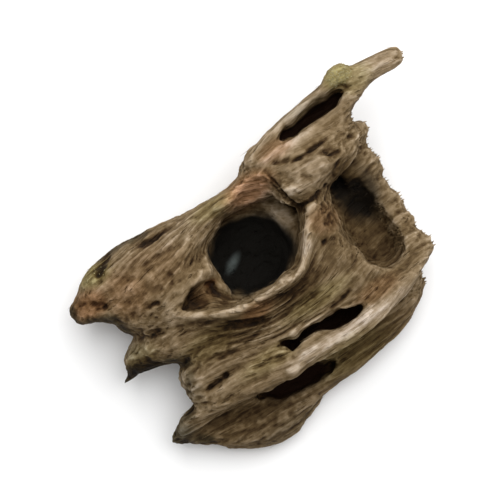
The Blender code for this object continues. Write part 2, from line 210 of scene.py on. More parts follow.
wood = {
    "voxel": 0.36,     # grid of the even mesh, in mm
    "smoothing": 9,               # rounds that take the grid's steps out
    "coarse": 0.26,               # heights of the ridges, in mm
    "middle": 0.24,
    "fine": 0.15,
    "mottle": 0.14,
    "slotEdge": (0.7, 1.3),       # how ragged the narrow hollows' edges are, and how wide that is, in mm
    "softFrom": 4,                # height over the table from which soft places count
    "dentLevels": (11, 18),       # heights between which a dent sets in
    "flatLevels": (0.0, 1.2),     # heights between which the relief sets in
    "around": (4, 30),            # rounds of averaging for the narrow and the wide form
    "shadeReach": 7,              # how far other wood shades a place, in mm
    "shadeRays": 14,
    "triangles": 190000,          # what is left once the flat places are thinned
}

# What lines and pits do to the tone (paler crests, partly a painted highlight; darker grooves and pits,
# painted shade), how deep grooves are cut, and the least share of a line that shows
lineLooks = {
    "crestTone": 0.26,
    "grooveTone": 0.55,
    "pitTone": 0.28,
    "grooveDepth": 1.3,
    "crestLeast": 0.45,
    "grooveLeast": 0.3,
    "unbrokenLeast": 0.85,
}

# Lines that stand out: path, rise, width, paleness (partly paler wood, partly a painted highlight where the
# crest catches the light)
crestLines = {
    "cheekRidge": ([(-15.2, 2.4), (-14.3, 3.6), (-13.5, 4.9)], 0.15, 0.4, 0.45),
    "rim": ([(-19.5, -1.2), (-16, -3.6), (-12, -5.5), (-8, -7.3), (-5, -8), (-2, -8), (2.5, -7.9),
             (5, -8.4), (7.5, -7.5), (9.2, -5.6)], 0.35, 0.6, 0.95),
    "shelfFold": ([(-11.6, 1.1), (-10.2, 1.0), (-8.8, 0.6)], 0.15, 0.35, 0.35),
    "rimEnd": ([(9.2, -5.6), (11, -3.6), (13, -1.2), (15.6, 1.6)], 0.3, 0.8, 0.8),
    "underRim": ([(-9.5, -8.2), (-7, -9.4), (-4, -10.9), (-1.5, -11.6)], 0.35, 0.9, 0.45),
    "cheekBand": ([(-16.6, 2.6), (-19, -0.8), (-20.8, -4.9), (-21.9, -8)], 0.3, 0.8, 0.6),
    "ridgeCrest": ([(-26, -20.6), (-18, -21.2), (-10, -22), (0, -22.4), (5, -23.2), (10, -23),
                    (15, -22.5), (22, -21)], 0.05, 1.6, 0.5),
    "ridgeEdge": ([(-8, -24), (-3, -24.8), (2, -25.1), (7, -25.3), (13, -25), (19, -24.1)], 0.2, 0.4, 0.8),
    "lumpEdge": ([(12.3, 6.5), (13.6, 6.0), (15.2, 5.5), (17, 5.6)], 0.3, 0.6, 0.5),
    "lumpTop": ([(15, 8.8), (18, 8.2), (20.4, 8.2), (22.6, 8.8)], 0.2, 0.6, 0.5),
    "lowerBar": ([(10.8, 14.6), (12.4, 13.5), (17, 13.5), (22, 13.6), (28, 13.4)], 0.15, 0.7, 0.7),
    "upperBar": ([(11, 16.2), (15, 17), (20, 17.7), (25, 18.3), (30, 18.9)], 0.1, 0.7, 0.6),
    "arm": ([(34, 17.5), (39, 17.2), (44, 16.8)], 0.1, 1.2, 0.6),
    "slotLip": ([(-3, -17.3), (1, -17.4), (5, -17.2), (8, -17.9)], 0.15, 0.5, 0.3),
    "plateauOne": ([(-22, -15.9), (-18, -15.8), (-12, -15.4), (-6, -15.2), (0, -15), (6, -14.6)],
                   0.2, 0.5, 0.35),
    "plateauTwo": ([(-21, -18.6), (-15, -18.3), (-9, -18), (-5, -17)], 0.2, 0.6, 0.35),
    "noseStreak": ([(-33, 11.4), (-30, 10.2), (-27, 8.2)], 0.1, 0.5, 0.3),
}

# Lines that are cut in: path, depth, width, darkness (painted shade in the groove, and the dark of the
# cracks)
grooveLines = {
    "belowRim": ([(-17, -5.2), (-12, -8.3), (-7, -11), (-3, -12.7)], 0.45, 0.8, 0.55),
    "darkBand": ([(-1, -10), (3, -10.6), (8, -10), (11, -8.2)], 0.35, 1.1, 0.4),
    "shelfPit": ([(-15.8, -2.3), (-14.7, -1.2), (-13.6, 0.2), (-12.2, 1.2)], 0.2, 0.7, 0.35),
    "shelfCorner": ([(-15.2, -2.2), (-13.6, -3.3), (-12.2, -4.2)], 0.2, 0.5, 0.35),
    "shelfCurl": ([(-10.3, 0.2), (-9.5, -0.3), (-8.6, -0.9)], 0.3, 0.3, 0.8),
    "cheekStroke": ([(-15.6, 3.4), (-15, 4.5), (-14.2, 5.4)], 0.3, 0.35, 0.6),
    "cheekDiagonal": ([(-16.5, 4.4), (-14, 5.7), (-10, 6.1), (-7, 7)], 0.25, 0.45, 0.3),
    "cheekMark": ([(-22.4, 2.1), (-20.8, 2.5), (-19.4, 1.9)], 0.35, 0.4, 0.85),
    "plateauOne": ([(-17, -13.4), (-12, -13.9), (-6, -13.6)], 0.3, 0.4, 0.5),
    "plateauTwo": ([(-22.2, -17.3), (-19, -17.2), (-15.8, -16.8)], 0.45, 0.4, 0.9),
    "plateauThree": ([(-12, -18.9), (-9.5, -19.1), (-7, -18.8)], 0.25, 0.35, 0.6),
    "plateauFour": ([(-2, -13.9), (3, -13.4), (8, -13.3)], 0.3, 0.45, 0.45),
    "lumpOverhang": ([(11.2, 12.4), (11.6, 10), (11.8, 7.6), (12.1, 5), (12.8, 2.4), (13.8, 0.7)],
                     0.6, 0.5, 1.0),
    "lumpFold": ([(13, 2.4), (16, 2.2), (18.6, 2.5)], 0.45, 0.4, 1.0),
    "lumpLower": ([(19.4, 3.2), (20.6, 2.2), (22.2, 1.8)], 0.35, 0.45, 0.8),
    "lumpMiddle": ([(16.6, 7.3), (17.6, 6.5), (18.2, 5.4)], 0.25, 0.5, 0.4),
    "lumpSide": ([(22.8, 8.5), (24.4, 7.3), (26.2, 6.9)], 0.35, 0.4, 0.8),
    "lumpSideLow": ([(21.6, 3.2), (23.6, 4.6), (25.6, 5.8)], 0.3, 0.45, 0.5),
    "barShadow": ([(13.4, 12.4), (15, 11.5), (17.2, 11.2)], 0.3, 0.45, 0.6),
    "barGroove": ([(16.4, 10.4), (20, 10.1), (25.5, 10.3)], 0.5, 0.4, 1.1),
    "topCrack": ([(-17.6, 13.7), (-14.6, 13), (-12, 13.1), (-7.5, 13.4)], 0.4, 0.5, 1.3),
    "noseCrack": ([(-27.4, 12.7), (-25.6, 13.6), (-24, 14.7), (-22.4, 15.6)], 0.4, 0.75, 1.3),
    "smallCrack": ([(7, -17.6), (9.5, -17.3), (13, -16.7)], 0.4, 0.35, 0.9),
    "nosePlates": ([(-34, 10.6), (-31.5, 9.6), (-29, 7.8)], 0.3, 0.45, 0.55),
    "noseLower": ([(-31, 8), (-29.6, 7.4), (-28.4, 7.6)], 0.25, 0.4, 0.5),
    "upperRib": ([(-19.5, 9.6), (-15, 9.9), (-11, 9.4)], 0.25, 0.5, 0.4),
    "bandOne": ([(16.2, -0.3), (17.6, -0.9), (19.2, -1.9)], 0.25, 0.35, 0.5),
    "bandTwo": ([(15, -2.9), (17.2, -3.8), (19.2, -4.2)], 0.25, 0.45, 0.5),
    "bandThree": ([(12.8, -5.6), (14.2, -6.4), (15.8, -6.2)], 0.25, 0.4, 0.4),
    "lipOne": ([(-25, -26.6), (-21.5, -28), (-19, -28.8)], 0.2, 0.35, 0.5),
    "lipTwo": ([(-22, -31), (-16, -33), (-9, -33.2), (-4, -31.6)], 0.25, 0.5, 0.35),
}

# Grooves that run on without a gap
unbroken = {"barGroove", "lumpOverhang", "lumpFold", "barShadow", "lumpSide"}

# Small pits: x, y, radius, depth
pits = [
    (-24.7, 6.0, 0.7, 0.3), (-19.9, 6.4, 0.6, 0.25), (-28.9, 7.6, 0.6, 0.25), (-16.6, -1.0, 0.6, 0.4),
    (-13.3, -12.7, 0.5, 0.3), (-10.3, -14.1, 0.4, 0.3), (-14.4, -30.4, 0.7, 0.3),
    (-10.4, -30.6, 0.6, 0.3), (13.8, -5.9, 0.6, 0.3), (16.4, -11.5, 0.4, 0.25), (23.8, 7.2, 0.6, 0.3),
    (17.4, -2.2, 0.5, 0.3), (20.3, -2.0, 0.45, 0.3), (19.1, -0.6, 0.35, 0.25), (-26.6, -1.2, 0.8, 0.25),
    (-23.7, -2.6, 0.8, 0.25), (17.5, 6.4, 0.5, 0.2),
]

# Narrow hollows painted dark, brown pitch with painted shade deep inside: path, width, blur, and the heights
# where it starts to fade and ends
darkSlots = [
    ([(-5, -21), (-2, -19.4), (3.5, -19.4), (7.5, -20.4), (12, -20.6)], 2.3, 0.5, 12.6, 14.6),
    ([(-10.5, -25.6), (-6, -26.2), (-1.5, -26.8)], 2.2, 1.2, 5.4, 8.2),
    ([(18.2, 15.4), (26, 15.8), (32.2, 16.2)], 1.5, 0.4, 14.4, 16.2),
]

# Shallow dents: x, y, half length, half width, depth
dents = [(-8.2, -2.0, 2.4, 3.6, 1.7), (-9.6, 0.4, 1.8, 1.6, 0.3)]

# Grey edges, weathered grey on the top edge and painted shade along the lower edges of the nose and the
# prongs, in the prong's crease and on the broken face: path, width, strength
greyEdges = [
    ([(-35, 10.6), (-35.6, 7.8), (-32, 5.8), (-29.2, 3.9), (-28.5, 0.8)], 1.2, 1.0),
    ([(-35.8, -7.6), (-32, -7.9), (-28, -8), (-24.5, -8.8), (-22, -10.6)], 1.0, 1.0),
    ([(-24.5, 16.3), (-20, 16.2), (-15, 15.4)], 1.0, 1.0),
    ([(-33.8, -22.4), (-31, -20.4), (-27, -19.2)], 1.0, 0.9),
    ([(-33.8, -22.6), (-30, -24.2), (-26.5, -26)], 1.0, 0.9),
    ([(-26.4, -19), (-25, -15.5), (-22.6, -12.6)], 1.0, 0.7),
]


def lineEffects(places, facing):
    # What the listed lines and pits add to the height, in mm, and to the tone
    plan = places[:, :2]
    ragged = noiseAt(places, "lineEdge")
    broken = smoothStep(noiseAt(places, "lineGaps"), -0.45, 0.15)
    height, tone = np.zeros(len(places)), np.zeros(len(places))
    for path, rise, width, paleness in crestLines.values():
        near, gap, share = distanceToPath(plan, path, 4 * width)
        least = lineLooks["crestLeast"]
        bell = np.exp(-np.abs(gap / width + 0.5 * ragged[near])**1.5) * (least + (1 - least) * broken[near])
        bell *= np.sqrt(np.clip(np.sin(np.pi * share), 0, 1) + 0.1)
        height[near] += rise * bell
        # Paler along the crest: partly paler wood, partly a painted highlight
        tone[near] += lineLooks["crestTone"] * paleness * bell
    for name, (path, depth, width, darkness) in grooveLines.items():
        near, gap, share = distanceToPath(plan, path, 4 * width)
        least = lineLooks["unbrokenLeast" if name in unbroken else "grooveLeast"]
        bell = np.exp(-(gap / width + 0.7 * ragged[near])**2) * (least + (1 - least) * broken[near])
        bell *= np.clip(2.2 * np.sin(np.pi * share), 0, 1)
        height[near] -= lineLooks["grooveDepth"] * depth * bell
        # Darker in the groove: painted shade, and the dark of the cracks
        tone[near] -= lineLooks["grooveTone"] * darkness * bell
    for x, y, radius, depth in pits:
        reach = np.hypot((plan[:, 0] - x) / 1.3, plan[:, 1] - y) / radius + 0.9 * ragged
        bell = np.exp(-np.maximum(reach, 0)**2) * (np.hypot(plan[:, 0] - x, plan[:, 1] - y) < 3)
        height -= depth * bell
        # Darker in the pit: painted shade
        tone -= lineLooks["pitTone"] * bell
    return height * facing, tone * facing


# Where the weather has left the wood soft and mottled: x, y, half length, half width, share
softPlaces = [
    (-27, 8, 10, 7, 0.85), (-17, 5, 9, 7, 0.75), (-8, 11, 8, 3, 0.5), (9, 4, 5, 8, 0.8), (18, 6, 8, 5, 0.6),
    (-14, -29, 13, 5, 0.75), (16, -6, 6, 7, 0.35), (22, -9, 4, 8, 0.6), (0, 0, 8, 8, 0.8),
    (17, -19, 5, 3, 0.5),
]


def spotMask(plan, spots):
    # The strongest of some soft-edged ovals at every plan point
    mask = np.zeros(len(plan))
    for x, y, length, width, strength in spots:
        reach = np.hypot((plan[:, 0] - x) / length, (plan[:, 1] - y) / width)
        mask = np.maximum(mask, strength * smoothStep(-reach, -1.35, -0.45))
    return mask


def grainRelief(places):
    # Height of the ridges and the mottle at every place, in mm
    fibre = grainPlaces(places)
    wander = noiseAt(places, "wander")
    fibre = fibre + np.outer(wander, (0.0, 0.9, 0.5))
    coarse = 0.45 - 1.8 * np.abs(noiseAt(fibre, "coarse"))
    middle = 0.5 - 1.9 * np.abs(noiseAt(fibre, "middle"))
    fine = noiseAt(fibre, "fine")
    mottle = noiseAt(places, "mottle") + 0.6 * noiseAt(places, "mottleFine")
    soft = spotMask(places[:, :2], softPlaces) * (places[:, 2] > wood["softFrom"])
    strength = np.clip(1 + 0.8 * noiseAt(places, "strength"), 0.4, 1.6) * (1 - 0.7 * soft)
    height = (wood["coarse"] * coarse + wood["middle"] * middle + wood["fine"] * fine) * strength
    height += wood["mottle"] * mottle * (0.7 + 0.9 * soft)
    broken = noiseAt(fibre, "slotEdge") + 0.35 * noiseAt(fibre, "slotEdgeFine")
    rise, spread = wood["slotEdge"]
    for path, width, *_ in darkSlots:
        near, gap, _ = distanceToPath(places[:, :2], path, width + 2)
        height[near] += rise * broken[near] * np.exp(-((gap - 0.8 * width) / spread)**2)
    return height


def neighbourMean(mesh, values, times):
    # Averages a value over each vertex's neighbours, again and again
    edges = np.empty(len(mesh.edges) * 2, int)
    mesh.edges.foreach_get("vertices", edges)
    a, b = edges.reshape(-1, 2).T
    count = np.bincount(a, minlength=len(values)) + np.bincount(b, minlength=len(values))
    count = np.maximum(count, 1).reshape(-1, *[1] * (values.ndim - 1))
    for _ in range(times):
        total = np.zeros_like(values)
        np.add.at(total, a, values[b])
        np.add.at(total, b, values[a])
        values = 0.5 * values + 0.5 * total / count
    return values


def occlusion(mesh, reach, rays):
    # Share of the directions out of each vertex that meet wood within reach
    tree = BVHTree.FromPolygons([v.co for v in mesh.vertices], [p.vertices for p in mesh.polygons])
    golden = math.pi * (3 - math.sqrt(5))
    heights = (np.arange(rays) + 0.5) / rays
    ring = np.sqrt(1 - heights**2)
    turn = np.arange(rays) * golden
    sphere = [Vector((r * math.cos(t), r * math.sin(t), h)) for r, t, h in zip(ring, turn, heights)]
    blocked = np.zeros(len(mesh.vertices))
    for vertex in mesh.vertices:
        normal = vertex.normal
        start = vertex.co + normal * 0.25 * mm
        toNormal = Vector((0, 0, 1)).rotation_difference(normal)
        for direction in sphere:
            hit = tree.ray_cast(start, toNormal @ direction, reach)
            if hit[0] is not None:
                blocked[vertex.index] += 1 - 0.5 * hit[3] / reach
    return blocked / rays


def liftPoints(mesh, heights):
    # Moves each point along its normal, but leaves the flat patches underneath flat
    places = vertexArray(mesh) / mm - knot
    normals = vertexArray(mesh, "normal")
    low = smoothStep(places[:, 2], *wood["flatLevels"])
    places += normals * (heights * low)[:, None]
    places[:, 2] = np.maximum(places[:, 2], 0.0)
    mesh.vertices.foreach_set("co", ((places + knot) * mm).ravel())
    mesh.update()


def facingUp(mesh):
    # 1 where the wood faces up, and 0 where it faces aside or down
    return smoothStep(vertexArray(mesh, "normal")[:, 2], -0.1, 0.45)


def woodSurface():
    # An even mesh over the solid, with its dents and its relief
    bm = bmesh.new()
    bm.from_mesh(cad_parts[woodNode].data)
    bmesh.ops.remove_doubles(bm, verts=bm.verts, dist=0.001 * mm)
    mesh = bpy.data.meshes.new("agarwood")
    bm.to_mesh(mesh)
    bm.free()
    obj = addObject("agarwood", mesh)
    remesh = obj.modifiers.new("Even", "REMESH")
    remesh.mode = "VOXEL"
    remesh.voxel_size = wood["voxel"] * mm
    smooth = obj.modifiers.new("Soft", "SMOOTH")
    smooth.factor = 0.5
    smooth.iterations = wood["smoothing"]
    mesh = plainMesh(obj)
    places = vertexArray(mesh) / mm - knot
    for x, y, length, width, depth in dents:
        dent = depth * spotMask(places[:, :2], [(x, y, length, width, 1)])
        places[:, 2] -= dent * smoothStep(places[:, 2], *wood["dentLevels"])
    mesh.vertices.foreach_set("co", ((places + knot) * mm).ravel())
    mesh.update()
    liftPoints(mesh, grainRelief(places))
    return obj


def storeForm(obj):
    # Keeps how far each point stands out, and how hidden it is for the painted occlusion shade, while the
    # mesh is still even
    mesh = obj.data
    places = vertexArray(mesh) / mm
    normals = vertexArray(mesh, "normal")
    for name, rounds in zip(("narrow", "wide"), wood["around"]):
        storeFloats(mesh, name, ((places - neighbourMean(mesh, places, rounds)) * normals).sum(axis=1))
    storeFloats(mesh, "occlusionShade", occlusion(mesh, wood["shadeReach"] * mm, wood["shadeRays"]))


def refineLines(obj):
    # Splits the faces along the listed lines, so that thin cracks come out sharp
    mesh = obj.data
    plan = (vertexArray(mesh) / mm - knot)[:, :2]
    wanted = np.zeros(len(plan), bool)
    for path, _, width, _ in [*crestLines.values(), *grooveLines.values()]:
        near, gap, _ = distanceToPath(plan, path, 3 * width)
        wanted[near[gap < 1.5 * width + 0.3]] = True
    wanted &= facingUp(mesh) > 0.3
    bm = bmesh.new()
    bm.from_mesh(mesh)
    edges = [edge for edge in bm.edges if wanted[edge.verts[0].index] and wanted[edge.verts[1].index]]
    bmesh.ops.subdivide_edges(bm, edges=edges, cuts=1, use_grid_fill=True)
    bm.to_mesh(mesh)
    bm.free()
    mesh.update()


def triangleCount(mesh):
    return sum(len(face.vertices) - 2 for face in mesh.polygons)


def thinFlatPlaces(obj):
    # Fewer triangles, mostly where the wood is flat
    modifier = obj.modifiers.new("Thin", "DECIMATE")
    modifier.ratio = min(1.0, wood["triangles"] / triangleCount(obj.data))
    plainMesh(obj)


print("wood surface")
agarwood = woodSurface()
storeForm(agarwood)
refineLines(agarwood)
print("  triangles before thinning", triangleCount(agarwood.data))


# Colour of the wood, from its form: what stands out is pale, like worn edges, and what lies deep is dark, as
# painted shade

tints = {
    # name: [(x, y, half length, half width, strength)]
    "rust": [
        (7, 10.5, 5.5, 3, 0.75), (-31.5, 9.2, 4.5, 3, 0.6), (-9.4, -0.3, 1.3, 0.8, 0.7),
        (-11.6, -1.4, 3, 2, 0.2), (-5, -9.8, 4, 1.6, 0.5), (15.5, 14, 4, 2, 0.35), (16, -2.5, 3.5, 3, 0.3),
        (-18, 8, 8, 5, 0.15), (17, -19.5, 5, 2, 0.3), (-24, 7, 5, 5, 0.3),
    ],
    "olive": [
        (33.8, 19.2, 3.6, 2.6, 0.95), (36, 17.2, 4, 3, 0.5), (-27.5, 13.8, 4, 2.4, 0.8),
        (6, -14.5, 8, 2.2, 0.5), (-8, -19, 7, 2.2, 0.4), (-1, 11.6, 5, 2, 0.5), (6, -27.5, 10, 3.5, 0.45),
        (-16, -10, 7, 3, 0.35), (-29, -5, 4, 3, 0.4),
    ],
    "grey": [
        (-33, -6.8, 4.4, 2.4, 0.9), (-32, -22, 4.6, 3, 0.9), (-30, -3.4, 2.2, 3.4, 0.3),
        (-24.5, -15.5, 2.2, 4.5, 0.4), (25, 17.8, 6, 1.2, 0.35), (-12, -33, 8, 2, 0.3),
        (-19, 16.2, 5, 1, 0.6),
    ],
    # Painted shade, mostly under the rim, under the ridge, over the lip and flank and in the side hollow,
    # with a few darker patches of the wood itself
    "paintedShade": [
        (-10, -10.5, 12, 3.2, 0.65), (4, -11, 7, 2.2, 0.65), (-16, -26.5, 14, 6, 0.6),
        (8, -28, 18, 3.6, 0.55), (-12.6, -1.2, 3.4, 2.6, 0.5), (-22, 4, 6, 4.5, 0.15),
        (21.5, -10, 4.5, 8, 0.6), (-26, 13.7, 2.2, 1.1, 0.4), (24.2, 0, 3.4, 7, 0.9), (-20, -8, 6, 3, 0.2),
        (16, -4, 5, 8, 0.35), (-16, -15, 6, 3.5, 0.2), (-28, 14.6, 6, 1.6, 0.15),
    ],
    "bleach": [
        (-10, 11.6, 8, 2.4, 0.5), (-18, 12.4, 5, 2.4, 0.3), (19, 6, 6, 4, 0.4), (40, 16.8, 5.5, 2, 0.3),
        (12, -22.8, 11, 1.6, 0.75), (0, -22.6, 9, 1.4, 0.6), (17, 12.8, 7, 1.2, 0.6),
        (10.2, -4.6, 2, 2, 0.4), (7, 10, 5, 2.6, 0.3), (-19, 0, 1.6, 3, 0.3), (-29, -3, 3, 2, 0.3),
        (-31, -22, 3.4, 2.4, 0.35), (-14, -31, 12, 3, 0.3), (-28, 13.4, 3.4, 1.6, 0.3),
    ],
}

# Places that are paler or darker than their form says, partly the wood's own patches; the darker ones under
# the rim, in the side hollow, over the lip and on the flank are painted shade, and the paler ones on the knot
# hole's right and top walls are painted light: x, y, half length, half width, change of tone
toneSpots = [
    (9.4, 3.6, 2.6, 5.5, 0.26), (7, 10, 5, 2.8, 0.18), (-9, -10.4, 9, 2.2, -0.08),
    (-31, -7, 5, 2.4, -0.42), (-13, -1, 2.8, 2.2, -0.08), (-9, -2.4, 2.4, 3, -0.10),
    (-17, -27, 12, 5, -0.07), (-26, 13.8, 1.8, 1.0, -0.20), (-28, 13, 4, 2.4, 0.07),
    (-16, 13.3, 2.4, 0.8, -0.16), (23.5, -1.5, 3, 6, -0.2), (-26, 8, 5, 4, 0.06),
    (-10, 11.5, 7, 3, 0.02), (4, -7.6, 6, 1.8, -0.06), (4, -11.5, 7, 2, -0.08),
    (-15, -14.5, 6, 2.6, -0.02), (10.5, -14, 4, 2.4, 0.14), (15.5, -9, 3.4, 4, -0.05),
    (16.5, -0.5, 4, 4, -0.03), (10, -27.5, 9, 3, -0.09), (-24, -15, 3, 4, 0.16),
    (-28.6, -3, 3.4, 2.6, 0.11), (13.8, 5.8, 2.4, 1.2, 0.12), (17, 12.8, 7, 1.4, 0.12),
    (21.5, -11, 4, 6, -0.02), (-12.4, -5.6, 4, 1.4, -0.14), (10, -4.8, 2.4, 2, 0.08),
    (11, -22.8, 8, 1.8, 0.12), (0, -22.6, 6, 1.6, 0.05), (40, 16.8, 6, 3, 0.08), (33.6, 19, 3, 2.2, 0.09),
    (-11.2, -1.4, 3.2, 2.6, -0.08), (22, 18, 5, 1.2, 0.06), (-12, -17, 8, 2, 0.05),
]

# How the tone follows from the form: its middle, the weight and limit of the narrow and the wide form,
# and how much painted occlusion shade darkens a hidden place between two shares of hiding
toneFrom = {
    "middle": 0.46,
    "narrow": (1.5, 0.25),
    "wide": (0.42, 0.6),
    "occlusionShade": (0.5, 0.35, 1.0),
    "greyEdge": 0.20,        # how much a grey edge darkens, partly weathered grey and mostly painted shade
    "turnedAway": 0.3,       # share of shade and grey that is left where the wood faces down
}

# Where the hollows' marks lie, resin with painted shade and a painted patch of light on the knot hole's
# floor: centre x and y, half length, half width, and the heights between which they fade
hollowPlaces = {
    "knot": (0.3, 0, 8.4, 7.5),
    "knotLevels": (13.0, 15.6),
    # A painted patch of dim bluish light on the knot hole's floor
    "paintedHoleLight": (-3.6, 0.4, 2.2, 1.2),
    "holeLightSlope": 0.42,       # how far the spot slants in y for each mm of x
    "holeLightBelow": 9,          # height over the table under which it shows
    "side": (24.6, -0.6, 4.4, 7.0),
    "sideLevels": (10.5, 14.0),
    "sideStrength": 0.85,
}


def softInside(distance, edge, blur):
    return 1 - smoothStep(distance, edge - blur, edge + blur)


def hollowMasks(places):
    # Dark resin with painted shade in the knot hole and the side hollow, fading out above set heights, a
    # painted patch of dim light on the knot hole's floor, and brown pitch with painted shade in the long
    # slot, under the ridge and in the fork
    x, y, z = places.T
    plan = places[:, :2]
    ragged = 0.12 * noiseAt(places, "darkEdge")
    lowerRight = smoothStep(x - 2 * y, 6, 14)
    centre, _, length, width = hollowPlaces["knot"]
    squareness = 2.3
    ring = np.abs((x - centre) / (length + lowerRight))**squareness + np.abs(y / width)**squareness
    ring = ring**(1 / squareness)
    # Painted shade: the dark fades out above these heights, so the hole is darkest deep down
    deep = 1 - smoothStep(z + 14 * ragged - 2 * lowerRight, *hollowPlaces["knotLevels"])
    resinAndShade = softInside(ring + ragged, 1.0, 0.12) * deep
    # Painted light: a dim bluish patch on the knot hole's floor
    centre, middle, length, width = hollowPlaces["paintedHoleLight"]
    slope = hollowPlaces["holeLightSlope"] * (x - centre)
    paintedHoleLight = softInside(np.hypot((x - centre) / length, (y - middle - slope) / width), 0.7, 0.6)
    paintedHoleLight *= z < hollowPlaces["holeLightBelow"]
    centre, middle, length, width = hollowPlaces["side"]
    side = softInside(np.hypot((x - centre) / length, (y - middle) / width) + ragged, 1.0, 0.3)
    side *= 1 - smoothStep(z, *hollowPlaces["sideLevels"])
    resinAndShade = np.maximum(resinAndShade, hollowPlaces["sideStrength"] * side)
    pitchAndShade = np.zeros(len(places))
    # Painted shade with the pitch: darkest deep in each slot
    for path, width, blur, floor, brim in darkSlots:
        near, gap, _ = distanceToPath(plan, path, width + blur)
        inSlot = softInside(gap, width, blur) * (1 - smoothStep(z[near], floor, brim))
        pitchAndShade[near] = np.maximum(pitchAndShade[near], inSlot)
    return resinAndShade, paintedHoleLight, pitchAndShade


def opensDownward(mesh, chosen):
    # Which of the chosen points face down with no wood below them, as the underside does
    tree = BVHTree.FromPolygons([v.co for v in mesh.vertices], [p.vertices for p in mesh.polygons])
    opens = np.zeros(len(mesh.vertices), bool)
    for index in np.flatnonzero(chosen):
        vertex = mesh.vertices[int(index)]
        if vertex.normal.z < 0:
            start = vertex.co + vertex.normal * 0.05 * mm
            opens[index] = tree.ray_cast(start, Vector((0, 0, -1)))[0] is None
    return opens


def paintWood(obj):
    mesh = obj.data
    places = vertexArray(mesh) / mm - knot
    facing = facingUp(mesh)
    height, lineTone = lineEffects(places, facing)
    liftPoints(mesh, height)
    narrow, wide, occlusionShade = (floatArray(mesh, name) for name in ("narrow", "wide", "occlusionShade"))
    tone = np.full(len(places), toneFrom["middle"])
    # Paler where the form stands out, like worn edges, and darker where it lies deep, as painted shade in the
    # hollows
    for form, (weight, limit) in ((narrow, toneFrom["narrow"]), (wide, toneFrom["wide"])):
        tone += weight * np.clip(form, -limit, limit)
    # Painted shade: places that other wood hides are darkened
    weight, low, high = toneFrom["occlusionShade"]
    tone += lineTone - weight * smoothStep(occlusionShade, low, high)
    for x, y, length, width, change in toneSpots:
        tone += change * spotMask(places[:, :2], [(x, y, length, width, 1)]) * facing
    hollowPaint = hollowMasks(places)
    inside = ~opensDownward(mesh, np.max(hollowPaint, axis=0) > 0)
    for name, mask in zip(("resinAndShade", "paintedHoleLight", "pitchAndShade"), hollowPaint):
        storeFloats(mesh, name, mask * inside)
    masks = {name: spotMask(places[:, :2], spots) for name, spots in tints.items()}
    least = toneFrom["turnedAway"]
    masks["paintedShade"] *= least + (1 - least) * facing
    # Grey edges: weathered grey, and painted shade along the lower edges
    ragged = noiseAt(places, "greyEdge")
    for path, width, strength in greyEdges:
        near, gap, _ = distanceToPath(places[:, :2], path, 3 * width)
        bell = strength * np.exp(-(np.maximum(gap / width + 0.8 * ragged[near], 0))**2)
        bell *= least + (1 - least) * facing[near]
        masks["grey"][near] = np.maximum(masks["grey"][near], bell)
        tone[near] -= toneFrom["greyEdge"] * bell
    for name, mask in {"tone": np.clip(tone, 0, 1), **masks}.items():
        storeFloats(mesh, name, mask)
    storeVectors(mesh, "grain", grainPlaces(places))


print("wood colours")
paintWood(agarwood)
thinFlatPlaces(agarwood)
print("  triangles", triangleCount(agarwood.data))


# Materials

class Nodes:
    # Short ways to add and link the nodes of a tree
    def __init__(self, tree):
        self.tree = tree

    def add(self, kind, inputs=(), **settings):
        node = self.tree.nodes.new(kind)
        for name, value in settings.items():
            setattr(node, name, value)
        for name, value in dict(inputs).items():
            if isinstance(value, bpy.types.NodeSocket):
                self.tree.links.new(value, node.inputs[name])
            else:
                node.inputs[name].default_value = value
        return node

    def attribute(self, name):
        return self.add("ShaderNodeAttribute", attribute_name=name)

    def maths(self, operation, *values):
        return self.add("ShaderNodeMath", enumerate(values), operation=operation).outputs[0]

    def step(self, value, low, high):
        # 0 at low and 1 at high, eased at both ends
        return self.add("ShaderNodeMapRange", {"Value": value, "From Min": low, "From Max": high},
                        interpolation_type="SMOOTHSTEP").outputs[0]

    def mixed(self, factor, first, second, blend="MIX"):
        node = self.add("ShaderNodeMix", {0: factor, 6: first, 7: second}, data_type="RGBA", blend_type=blend)
        return node.outputs[2]

    def ramp(self, value, stops):
        node = self.add("ShaderNodeValToRGB", {0: value})
        elements = node.color_ramp.elements
        while len(elements) < len(stops):
            elements.new(0.5)
        for element, (place, colour) in zip(elements, stops):
            element.position = place
            element.color = (*colour, 1)
        return node.outputs[0]


